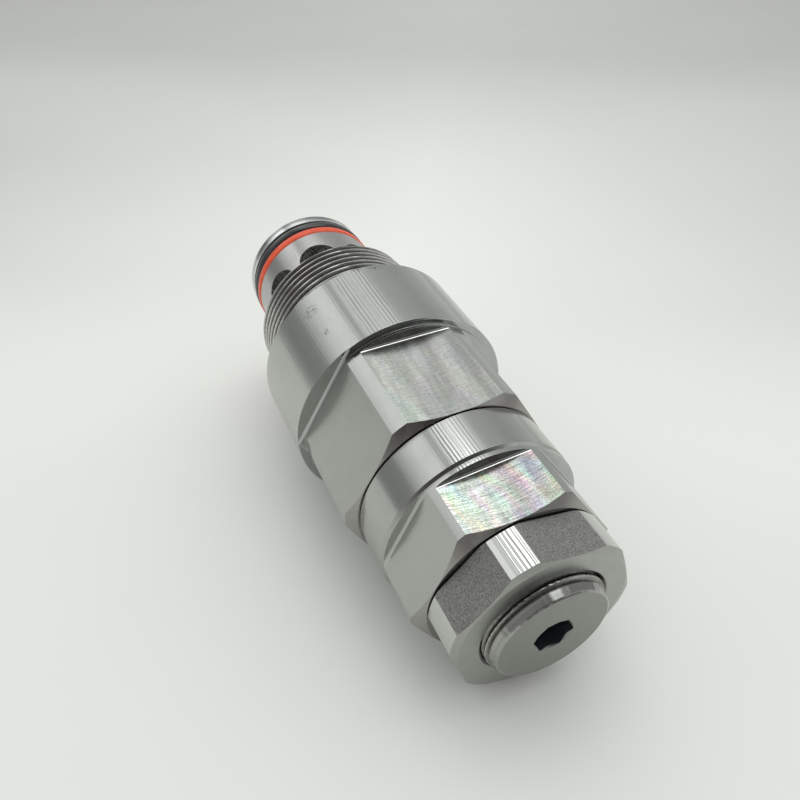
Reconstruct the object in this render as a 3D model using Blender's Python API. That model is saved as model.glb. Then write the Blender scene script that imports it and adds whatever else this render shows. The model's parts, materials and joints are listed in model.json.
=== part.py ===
"""Pilot-operated screw-in cartridge relief valve, lying along +X.

Frame: metres, +Z up.  The valve axis is the X axis, +X towards the adjusting
screw, so the nose that goes down the cavity points along -X.  The origin is
the middle of the overall length.

Sizes are in millimetres.  Places along the axis are measured from the annular
shoulder that seats on the manifold; DATUM_X places it in the part's frame.
FRONT means the -X end of a piece and REAR its +X end.  Every section is a
list of (x, r) points.
"""
import math

import bmesh
import bpy
from mathutils import Matrix, Vector

MM = 0.001

# ---- general ----
GAP = 0.3                     # clearance left between neighbouring solids
BIG = 36                      # facets round the large turned pieces
SMALL = 24                    # facets round the small ones
ORIFICE_FACETS = 12
PORT_FACETS = 16
COIL_STEPS = 10               # steps per turn of a spring
COIL_SIDES = 5                # sides of the spring wire
SHARP_ANGLE = 28.0            # degrees; sharper edges are not smoothed
WELD_DISTANCE = 1e-6          # metres

# ---- cutting tools ----
HEX_TOOL_AF = 70.0            # outside of the hexagon tools, clear of the stock
HEX_OVERRUN = 6.0             # how far a hexagon tool runs past an end face
KEY_OVERRUN = 4.0
DRILL_LENGTH = 60.0           # right across the sleeve

# ---- overall length ----
NOSE_END = -45.8              # front end of the nose
SCREW_END = 93.09             # rear end of the adjusting screw
DATUM_X = -(NOSE_END + SCREW_END) / 2.0

# ---- body outside ----
THREAD_FRONT = -19.0          # M45 x 2 cavity thread
THREAD_REAR = -5.0
THREAD_R = 22.6
RELIEF_R = 20.9
COLLAR_A_R = 27.2             # round collar with the seating shoulder at x = 0
COLLAR_A_END = 25.6
COLLAR_A_FRONT_CHAMFER = 0.75
COLLAR_A_REAR_CHAMFER = 0.3
HEX_A_AF = 46.0               # big hexagon, corners turned down to round lands
HEX_A_LAND_R = 25.53
HEX_A_START = 26.5
HEX_A_END = 51.38             # corner lands stop and the chamfer starts
HEX_A_FACE = 52.75            # rear face
HEX_A_ANGLE = 0.0

# ---- body bore ----
SLEEVE_SOCKET_R = 16.3        # takes the nose sleeve
SLEEVE_SOCKET_END = -2.0
PILOT_SEAT_SOCKET_R = 13.1
PILOT_SEAT_STEP = 17.7
HOUSING_SOCKET_R = 15.5       # takes the pilot housing's spigot
HOUSING_STEP = 28.0
JOINT_RECESS_R = 21.8         # rear face recess for the joint ring
JOINT_RECESS_FLOOR = 51.6

# ---- nose sleeve ----
NOSE_R = 18.0
NOSE_CHAMFER = 0.8
NOSE_GROOVE_FRONT = -42.2
NOSE_GROOVE_REAR = -35.25
NOSE_GROOVE_R = 15.0          # a groove's R is the radius of its floor
SLEEVE_R = SLEEVE_SOCKET_R - GAP
SLEEVE_BORE_R = 12.5
SLEEVE_BORE_FRONT = -38.5
SEAT_HOLE_R = 9.5
SLEEVE_GROOVE_FRONT = -12.0
SLEEVE_GROOVE_REAR = -9.4
SLEEVE_GROOVE_R = 14.4
PORT_X = -23.6                # ring of cross holes
PORT_R = 5.5
PORT_COUNT = 8
PORT_ANGLE = 9.7              # degrees about +X, from +Z

# ---- main poppet ----
POPPET_FRONT = -41.3
POPPET_REAR = -2.6
POPPET_R = SLEEVE_BORE_R - GAP
POPPET_STEM_R = 8.8
POPPET_HOLE_R = 2.6           # front hole, which holds the orifice
POPPET_BORE_R = 7.4           # rear bore, round the main spring
POPPET_BORE_FLOOR = -33.5
POPPET_GROOVE_FRONT = -10.3
POPPET_GROOVE_REAR = -7.9
POPPET_GROOVE_R = 10.4

# ---- pilot stage ----
PILOT_SEAT_R = PILOT_SEAT_SOCKET_R - GAP
PILOT_SEAT_REAR = HOUSING_STEP - GAP
PILOT_GROOVE_FRONT = 21.4
PILOT_GROOVE_REAR = 24.0
PILOT_GROOVE_R = 11.2
PILOT_POPPET_FRONT = 25.6

# ---- spring seat plunger ----
PLUNGER_R = 7.2
PLUNGER_REAR = 61.7
PLUNGER_GROOVE_FRONT = 55.6
PLUNGER_GROOVE_REAR = 59.6
PLUNGER_GROOVE_R = 5.5

# ---- pilot housing ----
SPIGOT_R = HOUSING_SOCKET_R - GAP
SPIGOT_FRONT = HOUSING_STEP + GAP
SPIGOT_GROOVE_FRONT = 33.0
SPIGOT_GROOVE_REAR = 36.4
SPIGOT_GROOVE_R = 13.4
COLLAR_B_START = HEX_A_FACE + GAP
COLLAR_B_R = 22.8
COLLAR_B_END = 64.55
COLLAR_B_FRONT_CHAMFER = 0.25
COLLAR_B_REAR_CHAMFER = 0.55
HEX_B_AF = 40.2
HEX_B_LAND_R = 22.66
HEX_B_START = 65.97
HEX_B_END = 78.15
HEX_B_FACE = 79.7
HEX_B_ANGLE = 4.4
PLUNGER_BORE_R = 7.6
SCREW_BORE_R = 13.75          # in the housing and the lock nut
SCREW_BORE_FLOOR = 63.7
SCREW_BORE_CHAMFER = 0.5

# ---- lock nut ----
NUT_SEAL_FRONT = HEX_B_FACE + GAP
NUT_SEAL_REAR = 81.4
NUT_AF = 37.4
NUT_LAND_R = 20.09
NUT_START = 80.05
NUT_END = 89.7
NUT_ANGLE = 47.9
NUT_RECESS_R = 17.6           # front recess, round the sealing washer

# ---- adjusting screw, M27 x 1.5 ----
SCREW_R = 13.4
SCREW_PIN_R = 6.0
SCREW_PIN_FRONT = PLUNGER_REAR + GAP
SCREW_THREAD_FRONT = 70.1
KEY_AF = 8.0                  # hexagon socket in the screw
KEY_DEPTH = 9.0
KEY_ANGLE = 55.0

# ---- materials ----
FINISHES = {
    "body_steel": dict(colour=(0.62, 0.63, 0.62), roughness=0.32, metallic=1.0),
    "nut_steel": dict(colour=(0.40, 0.41, 0.40), roughness=0.45, metallic=1.0),
    "screw_steel": dict(colour=(0.60, 0.60, 0.59), roughness=0.34, metallic=1.0),
    "poppet_steel": dict(colour=(0.66, 0.66, 0.66), roughness=0.22, metallic=1.0),
    "spring_steel": dict(colour=(0.34, 0.34, 0.36), roughness=0.38, metallic=1.0),
    "rubber_black": dict(colour=(0.02, 0.02, 0.022), roughness=0.55, metallic=0.0),
    "ring_orange": dict(colour=(0.82, 0.12, 0.045), roughness=0.42, metallic=0.0),
    "seal_plastic": dict(colour=(0.78, 0.77, 0.72), roughness=0.40, metallic=0.0),
    "orifice_brass": dict(colour=(0.75, 0.56, 0.26), roughness=0.30, metallic=1.0),
}


def new_material(piece_name, finish):
    look = FINISHES[finish]
    material = bpy.data.materials.new(piece_name + "_" + finish)
    material.use_nodes = True
    inputs = material.node_tree.nodes["Principled BSDF"].inputs
    inputs["Base Color"].default_value = (*look["colour"], 1.0)
    inputs["Roughness"].default_value = look["roughness"]
    inputs["Metallic"].default_value = look["metallic"]
    material.diffuse_color = (*look["colour"], 1.0)
    return material


# ---- solids ----
def add_object(bm, name, finish=None, pivot=0.0):
    """Turn a bmesh in metres into an object with its origin at x = pivot (mm)."""
    bmesh.ops.remove_doubles(bm, verts=bm.verts, dist=WELD_DISTANCE)
    bmesh.ops.recalc_face_normals(bm, faces=bm.faces)
    mesh = bpy.data.meshes.new(name)
    bm.to_mesh(mesh)
    bm.free()
    obj = bpy.data.objects.new(name, mesh)
    bpy.context.scene.collection.objects.link(obj)
    if finish:
        mesh.materials.append(new_material(name, finish))
    mesh.shade_smooth()
    mesh.set_sharp_from_angle(angle=math.radians(SHARP_ANGLE))
    mesh.transform(Matrix.Translation((-pivot * MM, 0.0, 0.0)))
    obj.location = ((DATUM_X + pivot) * MM, 0.0, 0.0)
    return obj


def turned(name, section, finish, segments, pivot=0.0):
    """Spin a closed section a full turn about the X axis.

    A section that starts and ends on the axis (r = 0) gives a solid piece, and
    any other section gives a ring."""
    bm = bmesh.new()
    verts = [bm.verts.new((x * MM, 0.0, r * MM)) for x, r in section]
    edges = [bm.edges.new(pair) for pair in zip(verts, verts[1:])]
    if section[0][1] > 0.0 or section[-1][1] > 0.0:
        edges.append(bm.edges.new((verts[-1], verts[0])))
    bmesh.ops.spin(bm, geom=verts + edges, cent=(0, 0, 0), axis=(1, 0, 0),
                   angle=math.tau, steps=segments, use_duplicate=False)
    return add_object(bm, name, finish, pivot)


def flat_ring(name, front, rear, inner, outer, finish, segments, pivot=0.0):
    """Ring of rectangular section."""
    section = [(front, inner), (front, outer), (rear, outer), (rear, inner)]
    turned(name, section, finish, segments, pivot)


def o_ring(name, x_mid, r_mid, radius, sides=6, segments=SMALL, pivot=0.0):
    """Rubber ring of round section, drawn with the given number of sides."""
    angles = [math.tau * (i + 0.5) / sides for i in range(sides)]
    section = [(x_mid + radius * math.cos(a), r_mid + radius * math.sin(a)) for a in angles]
    turned(name, section, "rubber_black", segments, pivot)


def bridge(bm, loop_a, loop_b):
    """Join two closed loops of vertices with a band of quads."""
    count = len(loop_a)
    for k in range(count):
        n = (k + 1) % count
        bm.faces.new((loop_a[k], loop_a[n], loop_b[n], loop_b[k]))


def coil(name, front, rear, mean_r, wire_r, turns):
    """Compression spring along X with flatter end coils and capped wire ends."""
    closed = 0.9                    # turns at each end with a small pitch
    closed_pitch = 2.05 * wire_r
    closed_length = closed_pitch * closed
    along = Vector((1.0, 0.0, 0.0))
    bm = bmesh.new()
    rings = []
    count = turns * COIL_STEPS
    for i in range(count + 1):
        turn = i / count * turns
        if turn < closed:
            x = front + closed_pitch * turn
        elif turn > turns - closed:
            x = rear - closed_pitch * (turns - turn)
        else:
            s = (turn - closed) / (turns - 2 * closed)
            x = (front + closed_length) * (1 - s) + (rear - closed_length) * s
        angle = turn * math.tau
        out = Vector((0.0, -math.sin(angle), math.cos(angle)))
        centre = along * x + out * mean_r
        ring = []
        for k in range(COIL_SIDES):
            a = math.tau * k / COIL_SIDES
            offset = out * wire_r * math.cos(a) + along * wire_r * math.sin(a)
            ring.append(bm.verts.new((centre + offset) * MM))
        rings.append(ring)
    for ring, following in zip(rings, rings[1:]):
        bridge(bm, ring, following)
    bm.faces.new(rings[0])
    bm.faces.new(rings[-1])
    add_object(bm, name, "spring_steel")


# ---- cuts ----
def cut(piece, bm, name):
    """Make a hidden tool of the bmesh and subtract it from the piece."""
    tool = add_object(bm, name)
    tool.hide_render = True
    tool.display_type = 'WIRE'
    modifier = piece.modifiers.new(name, 'BOOLEAN')
    modifier.operation = 'DIFFERENCE'
    modifier.solver = 'EXACT'
    modifier.object = tool


def hexagon_loop(bm, x, across_flats, angle):
    """Hexagon at x, with the middle of one flat at the angle (degrees) from +Z."""
    r = across_flats / 2.0 / math.cos(math.pi / 6.0)
    corners = [math.radians(angle + 30.0 + 60.0 * k) for k in range(6)]
    return [bm.verts.new((x * MM, -r * math.sin(a) * MM, r * math.cos(a) * MM))
            for a in corners]


def mill_hexagon(piece, name, across_flats, angle, front, rear):
    """Cut flats on round stock with a six-sided tube."""
    bm = bmesh.new()
    inner_front, inner_rear, outer_front, outer_rear = [
        hexagon_loop(bm, x, size, angle)
        for size in (across_flats, HEX_TOOL_AF) for x in (front, rear)]
    bridge(bm, inner_front, inner_rear)
    bridge(bm, outer_front, outer_rear)
    bridge(bm, inner_front, outer_front)
    bridge(bm, inner_rear, outer_rear)
    cut(piece, bm, name)


def cut_key_socket(piece):
    bm = bmesh.new()
    ends = [hexagon_loop(bm, x, KEY_AF, KEY_ANGLE)
            for x in (SCREW_END - KEY_DEPTH, SCREW_END + KEY_OVERRUN)]
    for loop in ends:
        bm.faces.new(loop)
    bridge(bm, *ends)
    cut(piece, bm, "cut_key_socket")


def drill_ports(piece):
    """Each drill goes right across, so it makes two opposite ports."""
    for k in range(PORT_COUNT // 2):
        angle = math.radians(PORT_ANGLE + 360.0 / PORT_COUNT * k)
        bm = bmesh.new()
        bmesh.ops.create_cone(bm, cap_ends=True, segments=PORT_FACETS, radius1=PORT_R * MM,
                              radius2=PORT_R * MM, depth=DRILL_LENGTH * MM)
        bm.transform(Matrix.Translation((PORT_X * MM, 0, 0)) @ Matrix.Rotation(angle, 4, 'X'))
        cut(piece, bm, "cut_port_%d" % (k + 1))


# ---- pieces ----
def build_body():
    """Cavity thread, seating collar, big hexagon, stepped bore right through."""
    body = turned("valve_body", [
        # outside, front to rear
        (THREAD_FRONT, 21.5), (-17.9, THREAD_R), (THREAD_REAR, THREAD_R),
        (-4.2, RELIEF_R), (0.0, RELIEF_R),
        (0.0, COLLAR_A_R - COLLAR_A_FRONT_CHAMFER), (COLLAR_A_FRONT_CHAMFER, COLLAR_A_R),
        (COLLAR_A_END - COLLAR_A_REAR_CHAMFER, COLLAR_A_R),
        (COLLAR_A_END, COLLAR_A_R - COLLAR_A_REAR_CHAMFER),
        (COLLAR_A_END, HEX_A_LAND_R), (HEX_A_END, HEX_A_LAND_R), (HEX_A_FACE, 23.15),
        # bore, rear to front
        (HEX_A_FACE, JOINT_RECESS_R), (JOINT_RECESS_FLOOR, JOINT_RECESS_R),
        (JOINT_RECESS_FLOOR, HOUSING_SOCKET_R), (HOUSING_STEP, HOUSING_SOCKET_R),
        (HOUSING_STEP, PILOT_SEAT_SOCKET_R), (PILOT_SEAT_STEP, PILOT_SEAT_SOCKET_R),
        (PILOT_SEAT_STEP, 11.5), (5.0, 11.5), (5.0, 12.7), (SLEEVE_SOCKET_END, 12.7),
        (SLEEVE_SOCKET_END, SLEEVE_SOCKET_R), (THREAD_FRONT, SLEEVE_SOCKET_R),
    ], "body_steel", BIG)
    mill_hexagon(body, "cut_body_hexagon", HEX_A_AF, HEX_A_ANGLE,
                 HEX_A_START, HEX_A_FACE + HEX_OVERRUN)


def build_sleeve():
    """Nose sleeve: main seat at the front, ring of cross holes, seal grooves."""
    shoulder = THREAD_FRONT - GAP
    rear = SLEEVE_SOCKET_END - GAP
    sleeve = turned("nose_sleeve", [
        (NOSE_END, NOSE_R - NOSE_CHAMFER), (NOSE_END + NOSE_CHAMFER, NOSE_R),
        (NOSE_GROOVE_FRONT, NOSE_R), (NOSE_GROOVE_FRONT, NOSE_GROOVE_R),
        (NOSE_GROOVE_REAR, NOSE_GROOVE_R), (NOSE_GROOVE_REAR, NOSE_R),
        (shoulder, NOSE_R), (shoulder, SLEEVE_R),
        (SLEEVE_GROOVE_FRONT, SLEEVE_R), (SLEEVE_GROOVE_FRONT, SLEEVE_GROOVE_R),
        (SLEEVE_GROOVE_REAR, SLEEVE_GROOVE_R), (SLEEVE_GROOVE_REAR, SLEEVE_R),
        (rear, SLEEVE_R), (rear, SLEEVE_BORE_R), (SLEEVE_BORE_FRONT, SLEEVE_BORE_R),
        (SLEEVE_BORE_FRONT, 11.2), (-40.2, SEAT_HOLE_R), (-45.2, SEAT_HOLE_R),
        (NOSE_END, 10.1),
    ], "body_steel", BIG)
    drill_ports(sleeve)


def build_sleeve_seals():
    o_ring("nose_o_ring", x_mid=-40.4, r_mid=16.65, radius=1.6, sides=8, segments=BIG)
    inner = NOSE_GROOVE_R + GAP
    turned("nose_backup_ring", [
        (-38.5, inner), (-38.5, 17.3), (-37.9, 18.0), (-37.2, 18.2),
        (-36.6, 18.2), (-35.9, 18.0), (-35.35, 17.3), (-35.35, inner),
    ], "ring_orange", BIG)
    o_ring("sleeve_o_ring", x_mid=(SLEEVE_GROOVE_FRONT + SLEEVE_GROOVE_REAR) / 2,
           r_mid=(SLEEVE_GROOVE_R + SLEEVE_SOCKET_R) / 2, radius=0.75)


def build_main_poppet():
    """45 degree seat cone, waisted stem, guide with a seal ring."""
    turned("main_poppet", [
        (POPPET_FRONT, POPPET_HOLE_R), (POPPET_FRONT, 8.0), (-38.0, 11.3), (-36.8, 11.3),
        (-34.0, POPPET_STEM_R), (-18.5, POPPET_STEM_R), (-16.5, POPPET_R),
        (POPPET_GROOVE_FRONT, POPPET_R), (POPPET_GROOVE_FRONT, POPPET_GROOVE_R),
        (POPPET_GROOVE_REAR, POPPET_GROOVE_R), (POPPET_GROOVE_REAR, POPPET_R),
        (POPPET_REAR, POPPET_R), (POPPET_REAR, POPPET_BORE_R),
        (POPPET_BORE_FLOOR, POPPET_BORE_R), (POPPET_BORE_FLOOR, POPPET_HOLE_R),
    ], "poppet_steel", SMALL, pivot=POPPET_FRONT)
    flat_ring("poppet_orifice", front=POPPET_FRONT + GAP, rear=POPPET_BORE_FLOOR - GAP,
              inner=0.6, outer=POPPET_HOLE_R - GAP,
              finish="orifice_brass", segments=ORIFICE_FACETS, pivot=POPPET_FRONT)
    flat_ring("poppet_seal_ring", front=POPPET_GROOVE_FRONT + GAP,
              rear=POPPET_GROOVE_REAR - GAP, inner=POPPET_GROOVE_R + GAP, outer=12.3,
              finish="seal_plastic", segments=SMALL, pivot=POPPET_FRONT)
    coil("main_spring", front=-32.3, rear=16.8, mean_r=5.6, wire_r=0.85, turns=8)


def build_pilot_stage():
    """Pilot seat, clamped between body and housing, with its poppet and spring."""
    flange_front = PILOT_SEAT_STEP + GAP
    turned("pilot_seat", [
        (14.5, 1.2), (14.5, 4.0), (flange_front, 4.0), (flange_front, PILOT_SEAT_R - 0.4),
        (flange_front + 0.4, PILOT_SEAT_R), (PILOT_GROOVE_FRONT, PILOT_SEAT_R),
        (PILOT_GROOVE_FRONT, PILOT_GROOVE_R), (PILOT_GROOVE_REAR, PILOT_GROOVE_R),
        (PILOT_GROOVE_REAR, PILOT_SEAT_R), (PILOT_SEAT_REAR, PILOT_SEAT_R),
        (PILOT_SEAT_REAR, 2.4), (26.5, 1.2),
    ], "poppet_steel", SMALL)
    o_ring("pilot_seat_o_ring", x_mid=(PILOT_GROOVE_FRONT + PILOT_GROOVE_REAR) / 2,
           r_mid=12.1, radius=0.75)
    turned("pilot_poppet", [
        (PILOT_POPPET_FRONT, 0.0), (PILOT_POPPET_FRONT, 0.28), (30.3, 3.0), (33.0, 3.0),
        (33.0, 5.6), (34.6, 5.6), (34.6, 2.6), (38.1, 2.6), (38.5, 2.2), (38.5, 0.0),
    ], "poppet_steel", SMALL, pivot=PILOT_POPPET_FRONT)
    coil("pilot_spring", front=35.7, rear=52.9, mean_r=3.7, wire_r=0.75, turns=6)


def build_spring_seat():
    """Plunger that slides and seals in the housing bore."""
    turned("spring_seat", [
        (50.0, 0.0), (50.0, 2.2), (50.4, 2.6), (54.0, 2.6), (54.0, PLUNGER_R),
        (PLUNGER_GROOVE_FRONT, PLUNGER_R), (PLUNGER_GROOVE_FRONT, PLUNGER_GROOVE_R),
        (PLUNGER_GROOVE_REAR, PLUNGER_GROOVE_R), (PLUNGER_GROOVE_REAR, PLUNGER_R),
        (PLUNGER_REAR, PLUNGER_R), (PLUNGER_REAR, 0.0),
    ], "poppet_steel", SMALL, pivot=PLUNGER_REAR)
    o_ring("plunger_o_ring", x_mid=56.75, r_mid=6.5, radius=0.82, pivot=PLUNGER_REAR)
    flat_ring("plunger_backup_ring", front=57.95, rear=PLUNGER_GROOVE_REAR - GAP,
              inner=PLUNGER_GROOVE_R + GAP, outer=7.32,
              finish="seal_plastic", segments=SMALL, pivot=PLUNGER_REAR)


def build_housing():
    """Pilot housing: spigot inside the body, round collar, small hexagon."""
    collar_rear_r = COLLAR_B_R - COLLAR_B_REAR_CHAMFER
    housing = turned("pilot_housing", [
        (SPIGOT_FRONT, SPIGOT_R - 0.8), (SPIGOT_FRONT + 0.8, SPIGOT_R),
        (SPIGOT_GROOVE_FRONT, SPIGOT_R), (SPIGOT_GROOVE_FRONT, SPIGOT_GROOVE_R),
        (SPIGOT_GROOVE_REAR, SPIGOT_GROOVE_R), (SPIGOT_GROOVE_REAR, SPIGOT_R),
        (COLLAR_B_START, SPIGOT_R), (COLLAR_B_START, COLLAR_B_R - COLLAR_B_FRONT_CHAMFER),
        (COLLAR_B_START + COLLAR_B_FRONT_CHAMFER, COLLAR_B_R),
        (COLLAR_B_END - COLLAR_B_REAR_CHAMFER, COLLAR_B_R), (COLLAR_B_END, collar_rear_r),
        (COLLAR_B_END + 0.25, collar_rear_r), (COLLAR_B_END + 0.55, HEX_B_LAND_R),
        (HEX_B_END, HEX_B_LAND_R), (HEX_B_FACE, 19.98),
        (HEX_B_FACE, SCREW_BORE_R + SCREW_BORE_CHAMFER),
        (HEX_B_FACE - SCREW_BORE_CHAMFER, SCREW_BORE_R), (SCREW_BORE_FLOOR, SCREW_BORE_R),
        (SCREW_BORE_FLOOR, PLUNGER_BORE_R), (SPIGOT_FRONT, PLUNGER_BORE_R),
    ], "body_steel", BIG)
    mill_hexagon(housing, "cut_housing_hexagon", HEX_B_AF, HEX_B_ANGLE,
                 HEX_B_START, HEX_B_FACE + HEX_OVERRUN)
    o_ring("housing_o_ring", x_mid=(SPIGOT_GROOVE_FRONT + SPIGOT_GROOVE_REAR) / 2,
           r_mid=14.35, radius=0.75)
    flat_ring("joint_ring", front=JOINT_RECESS_FLOOR + GAP, rear=52.7,
              inner=16.6, outer=21.4, finish="rubber_black", segments=BIG)


def build_lock_nut():
    """Lock nut with its sealing washer."""
    flat_ring("lock_nut_seal", front=NUT_SEAL_FRONT, rear=NUT_SEAL_REAR,
              inner=14.1, outer=NUT_RECESS_R - GAP,
              finish="rubber_black", segments=BIG, pivot=NUT_SEAL_FRONT)
    recess_floor = NUT_SEAL_REAR + GAP
    nut = turned("lock_nut", [
        (NUT_START, NUT_RECESS_R), (NUT_START, 18.6), (NUT_START + 0.53, NUT_LAND_R),
        (NUT_END - 0.57, NUT_LAND_R), (NUT_END, 18.5),
        (NUT_END, SCREW_BORE_R + SCREW_BORE_CHAMFER),
        (NUT_END - SCREW_BORE_CHAMFER, SCREW_BORE_R),
        (recess_floor, SCREW_BORE_R), (recess_floor, NUT_RECESS_R),
    ], "nut_steel", BIG, pivot=NUT_SEAL_FRONT)
    mill_hexagon(nut, "cut_nut_hexagon", NUT_AF, NUT_ANGLE,
                 NUT_START - HEX_OVERRUN, NUT_END + HEX_OVERRUN)


def build_screw():
    """Adjusting screw: pusher pin, thread, plain end with a hexagon socket."""
    screw = turned("adjusting_screw", [
        (SCREW_PIN_FRONT, 0.0), (SCREW_PIN_FRONT, SCREW_PIN_R - 0.6),
        (SCREW_PIN_FRONT + 0.6, SCREW_PIN_R), (SCREW_THREAD_FRONT, SCREW_PIN_R),
        (SCREW_THREAD_FRONT, 12.0), (71.5, SCREW_R), (90.5, SCREW_R), (90.9, 12.6),
        (91.3, 12.6), (91.3, 12.9), (92.8, 12.4), (SCREW_END, 11.95), (SCREW_END, 0.0),
    ], "screw_steel", BIG)
    cut_key_socket(screw)


for old in list(bpy.data.objects):
    bpy.data.objects.remove(old, do_unlink=True)
build_body()
build_sleeve()
build_sleeve_seals()
build_main_poppet()
build_pilot_stage()
build_spring_seat()
build_housing()
build_lock_nut()
build_screw()
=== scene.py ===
"""A pilot-operated cartridge valve with a lock nut and an adjusting screw.

The valve axis lies along X: nose toward -X, adjusting screw toward +X. Pieces are drawn
in millimetres as (x, radius), with x measured from the body's seating shoulder. Angles
round the axis (psi) start at +Z and turn right-handed about +X, that is toward -Y.
"""

import json
import math
from functools import cached_property

import bmesh
import bpy
from mathutils import Matrix, Vector


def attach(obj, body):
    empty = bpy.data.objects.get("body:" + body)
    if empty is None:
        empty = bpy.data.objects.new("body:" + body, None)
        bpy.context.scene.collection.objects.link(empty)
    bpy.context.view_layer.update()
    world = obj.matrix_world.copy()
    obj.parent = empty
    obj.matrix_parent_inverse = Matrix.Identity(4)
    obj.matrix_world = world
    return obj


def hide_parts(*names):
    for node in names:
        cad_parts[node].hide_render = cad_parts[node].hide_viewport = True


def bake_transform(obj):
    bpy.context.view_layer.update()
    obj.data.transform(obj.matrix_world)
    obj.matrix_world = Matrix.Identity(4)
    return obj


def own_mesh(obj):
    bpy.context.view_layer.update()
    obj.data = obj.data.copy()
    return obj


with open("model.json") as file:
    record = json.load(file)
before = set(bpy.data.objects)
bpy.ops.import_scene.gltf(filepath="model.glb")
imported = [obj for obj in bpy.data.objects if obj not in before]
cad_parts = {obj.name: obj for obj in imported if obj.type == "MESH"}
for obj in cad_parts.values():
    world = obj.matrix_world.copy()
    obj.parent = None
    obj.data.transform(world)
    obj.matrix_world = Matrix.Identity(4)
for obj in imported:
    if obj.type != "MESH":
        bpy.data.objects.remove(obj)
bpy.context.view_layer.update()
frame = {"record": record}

MM = 0.001
MOUNTS = {mount["name"]: mount for mount in frame["record"]["mounts"]}
SHOULDER = MOUNTS["cavity_shoulder"]["pos_m"][0]
SHOULDER_MM = SHOULDER * 1000.0

# segments round a turned piece
BIG, SMALL, TINY = 192, 96, 48

# the body's outside thread, mm
THREAD_FRONT, THREAD_REAR = -19.0, -5.0
THREAD_ROOT, THREAD_CREST, THREAD_PITCH = 21.35, 22.6, 2.0

# the adjusting screw's thread, mm
SCREW_THREAD_FRONT, SCREW_THREAD_REAR = 71.5, 90.9
SCREW_ROOT, SCREW_CREST, SCREW_PITCH = 12.97, 13.4, 1.5
SCREW_END = 93.09

# collars, and the hexagons: width across flats, psi of one flat, turned radius at corners
BODY_COLLAR, BODY_TOUCH = 27.2, 24.5          # radius, and where the floor plane meets it
HOUSING_COLLAR, HOUSING_TOUCH = 22.8, 63.95
BODY_HEX, BODY_HEX_PSI, BODY_LAND = 46.0, 0.0, 25.53
HOUSING_HEX, HOUSING_HEX_PSI, HOUSING_LAND = 40.2, 4.4, 22.66
NUT_HEX, NUT_HEX_PSI, NUT_LAND_RADIUS = 37.4, 47.9, 20.09
SOCKET_HEX, SOCKET_PSI = 7.85, 55.0

# camera, and its heading over the floor
CAMERA_PLACE = (0.1486 + SHOULDER, -0.05695, 0.12695)
CAMERA_AIM = (-0.67331, 0.30698, -0.67262)
HEADING_X, HEADING_Y = -0.9099, 0.4148

# direction of the lamp, and the half-way direction between it and the eye
LAMP = Vector((-0.585, 0.050, 0.81)).normalized()
GLINT = Vector((0.0, -0.146, 0.989)).normalized()

STEEL = (0.475, 0.49, 0.462)


# ============================================================================
# shader graphs
# ============================================================================
class Field:
    """A socket of a graph that can be used in arithmetic."""

    def __init__(self, graph, socket):
        self.graph = graph
        self.socket = socket

    def __add__(self, other):
        return self.graph.math('ADD', self, other)

    def __radd__(self, other):
        return self.graph.math('ADD', other, self)

    def __sub__(self, other):
        return self.graph.math('SUBTRACT', self, other)

    def __mul__(self, other):
        return self.graph.math('MULTIPLY', self, other)


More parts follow.
